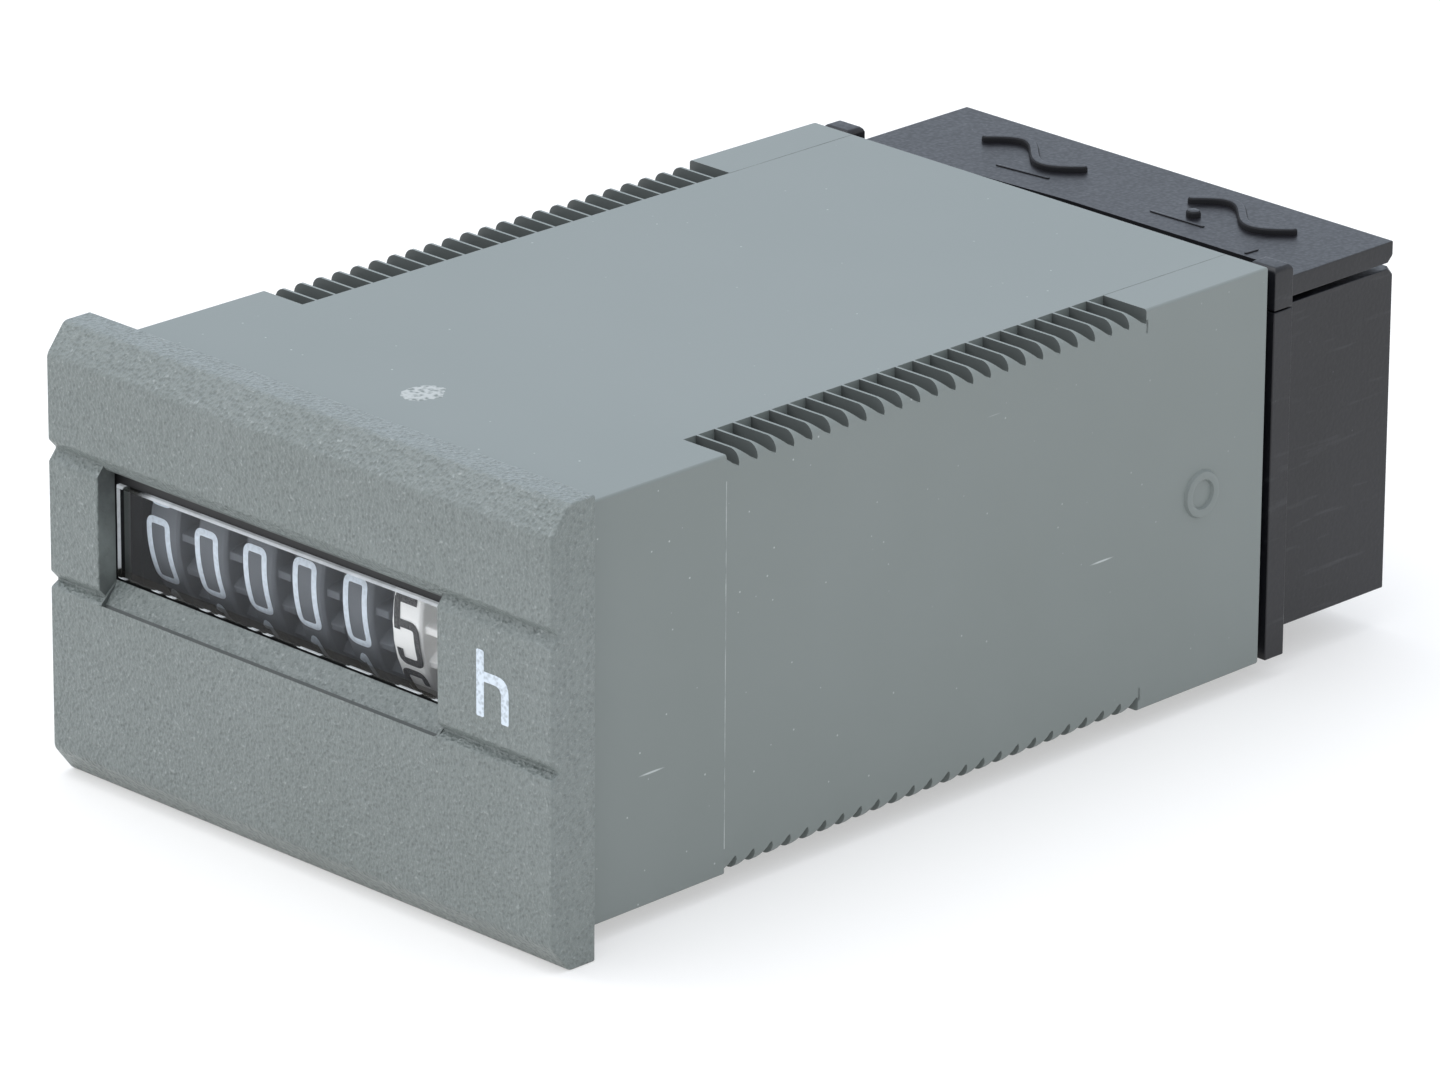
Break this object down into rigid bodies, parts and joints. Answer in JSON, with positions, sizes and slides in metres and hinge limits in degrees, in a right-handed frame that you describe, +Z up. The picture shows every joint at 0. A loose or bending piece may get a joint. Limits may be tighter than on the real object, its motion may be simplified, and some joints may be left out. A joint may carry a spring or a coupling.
{
  "type": "panel hour meter",
  "caption": "Panel-mounted operating-hours counter: grey snap-in housing with ratchet teeth, window over geared number drums, black screw terminals under a lift-off cover at the rear.",
  "frame": {"origin": "middle of the bezel's rear face, where the front of the panel sits", "axes": "+X to the right seen from the front, +Y to the rear through the panel, +Z up"},
  "size_m": [0.036, 0.0633, 0.024],
  "materials": {
    "grey_abs": "fine satin moulding",
    "clear_plastic": "clear polished",
    "black_plastic": "matt moulding",
    "cheek_steel": "pressed sheet",
    "ivory_plastic": "satin moulding",
    "bright_steel": "drawn and ground",
    "brass": "turned or stamped",
    "zinc_plated_can": "zinc plated",
    "gearbox_plastic": "matt moulding",
    "board_laminate": "solder mask",
    "capacitor_film": "dipped",
    "resistor_body": "lacquered",
    "wire_cover": "extruded",
    "plated_steel": "zinc plated"
  },
  "bodies": {
    "meter_body": {"housing": "grey_abs", "lens": "clear_plastic", "cheek_left": "cheek_steel", "cheek_right": "cheek_steel", "drum_shaft": "bright_steel", "drum_spacer": "black_plastic", "pinion_shaft": "bright_steel", "tie_bar_upper": "bright_steel", "tie_bar_lower": "bright_steel", "motor_can": "zinc_plated_can", "gearbox_case": "gearbox_plastic", "motor_post_upper": "bright_steel", "motor_post_lower": "bright_steel", "idler_post": "brass", "circuit_board": "board_laminate", "film_capacitor": "capacitor_film", "series_resistor": "resistor_body", "motor_wire_1": "wire_cover", "motor_wire_2": "wire_cover", "terminal_block": "black_plastic", "contact_strip_left": "brass", "contact_strip_right": "brass"},
    "tenths_drum": {"tenths_drum": "ivory_plastic"},
    "number_drum_1": {"number_drum_1": "black_plastic"},
    "transfer_pinion_1": {"transfer_pinion_1": "ivory_plastic"},
    "number_drum_2": {"number_drum_2": "black_plastic"},
    "transfer_pinion_2": {"transfer_pinion_2": "ivory_plastic"},
    "number_drum_3": {"number_drum_3": "black_plastic"},
    "transfer_pinion_3": {"transfer_pinion_3": "ivory_plastic"},
    "number_drum_4": {"number_drum_4": "black_plastic"},
    "transfer_pinion_4": {"transfer_pinion_4": "ivory_plastic"},
    "number_drum_5": {"number_drum_5": "black_plastic"},
    "transfer_pinion_5": {"transfer_pinion_5": "ivory_plastic"},
    "idler_gear": {"idler_gear": "ivory_plastic"},
    "motor_pinion": {"motor_pinion": "brass"},
    "terminal_screw_left": {"terminal_screw_left": "plated_steel"},
    "clamp_cage_left": {"clamp_cage_left": "plated_steel"},
    "terminal_screw_right": {"terminal_screw_right": "plated_steel"},
    "clamp_cage_right": {"clamp_cage_right": "plated_steel"},
    "terminal_cover": {"terminal_cover": "black_plastic"}
  },
  "joints": [
    {"name": "tenths_spin", "type": "hinge", "parent": "meter_body", "child": "tenths_drum", "pos_m": [0.00586, 0.0058, 0.00195], "axis": [-1, 0, 0], "continuous": true},
    {"name": "drum_1_spin", "type": "hinge", "parent": "meter_body", "child": "number_drum_1", "pos_m": [-0.01167, 0.0058, 0.00195], "axis": [-1, 0, 0], "continuous": true},
    {"name": "pinion_1_spin", "type": "hinge", "parent": "meter_body", "child": "transfer_pinion_1", "pos_m": [-0.01036, 0.00911, -0.00515], "axis": [-1, 0, 0], "continuous": true},
    {"name": "drum_2_spin", "type": "hinge", "parent": "meter_body", "child": "number_drum_2", "pos_m": [-0.00816, 0.0058, 0.00195], "axis": [-1, 0, 0], "continuous": true},
    {"name": "pinion_2_spin", "type": "hinge", "parent": "meter_body", "child": "transfer_pinion_2", "pos_m": [-0.00686, 0.00911, -0.00515], "axis": [-1, 0, 0], "continuous": true},
    {"name": "drum_3_spin", "type": "hinge", "parent": "meter_body", "child": "number_drum_3", "pos_m": [-0.00466, 0.0058, 0.00195], "axis": [-1, 0, 0], "continuous": true},
    {"name": "pinion_3_spin", "type": "hinge", "parent": "meter_body", "child": "transfer_pinion_3", "pos_m": [-0.00335, 0.00911, -0.00515], "axis": [-1, 0, 0], "continuous": true},
    {"name": "drum_4_spin", "type": "hinge", "parent": "meter_body", "child": "number_drum_4", "pos_m": [-0.00115, 0.0058, 0.00195], "axis": [-1, 0, 0], "continuous": true},
    {"name": "pinion_4_spin", "type": "hinge", "parent": "meter_body", "child": "transfer_pinion_4", "pos_m": [0.00016, 0.00911, -0.00515], "axis": [-1, 0, 0], "continuous": true},
    {"name": "drum_5_spin", "type": "hinge", "parent": "meter_body", "child": "number_drum_5", "pos_m": [0.00236, 0.0058, 0.00195], "axis": [-1, 0, 0], "continuous": true},
    {"name": "pinion_5_spin", "type": "hinge", "parent": "meter_body", "child": "transfer_pinion_5", "pos_m": [0.00366, 0.00911, -0.00515], "axis": [-1, 0, 0], "continuous": true},
    {"name": "idler_spin", "type": "hinge", "parent": "meter_body", "child": "idler_gear", "pos_m": [0.00737, 0.01476, 0.00195], "axis": [-1, 0, 0], "continuous": true},
    {"name": "motor_spin", "type": "hinge", "parent": "meter_body", "child": "motor_pinion", "pos_m": [0.00737, 0.02252, 0], "axis": [-1, 0, 0], "continuous": true},
    {"name": "screw_left_turn", "type": "hinge", "parent": "meter_body", "child": "terminal_screw_left", "pos_m": [-0.0071, 0.0555, 0.007], "axis": [0, 0, -1], "range_deg": [0, 1450]},
    {"name": "cage_left_lift", "type": "slide", "parent": "meter_body", "child": "clamp_cage_left", "axis": [0, 0, 1], "range_m": [0, 0.002]},
    {"name": "screw_right_turn", "type": "hinge", "parent": "meter_body", "child": "terminal_screw_right", "pos_m": [0.0071, 0.0555, 0.007], "axis": [0, 0, -1], "range_deg": [0, 1450]},
    {"name": "cage_right_lift", "type": "slide", "parent": "meter_body", "child": "clamp_cage_right", "axis": [0, 0, 1], "range_m": [0, 0.002]},
    {"name": "cover_lift", "type": "slide", "parent": "meter_body", "child": "terminal_cover", "axis": [0, 0, 1], "range_m": [0, 0.012]}
  ],
  "couplings": [
    {"joint": "drum_1_spin", "follows": "tenths_spin", "ratio": 0.00001},
    {"joint": "pinion_1_spin", "follows": "tenths_spin", "ratio": -0.000025},
    {"joint": "drum_2_spin", "follows": "tenths_spin", "ratio": 0.0001},
    {"joint": "pinion_2_spin", "follows": "tenths_spin", "ratio": -0.00025},
    {"joint": "drum_3_spin", "follows": "tenths_spin", "ratio": 0.001},
    {"joint": "pinion_3_spin", "follows": "tenths_spin", "ratio": -0.0025},
    {"joint": "drum_4_spin", "follows": "tenths_spin", "ratio": 0.01},
    {"joint": "pinion_4_spin", "follows": "tenths_spin", "ratio": -0.025},
    {"joint": "drum_5_spin", "follows": "tenths_spin", "ratio": 0.1},
    {"joint": "pinion_5_spin", "follows": "tenths_spin", "ratio": -0.25},
    {"joint": "idler_spin", "follows": "tenths_spin", "ratio": -1.6667},
    {"joint": "motor_spin", "follows": "tenths_spin", "ratio": 5},
    {"joint": "screw_left_turn", "follows": "cage_left_lift", "rad_per_m": 12566},
    {"joint": "screw_right_turn", "follows": "cage_right_lift", "rad_per_m": 12566}
  ]
}
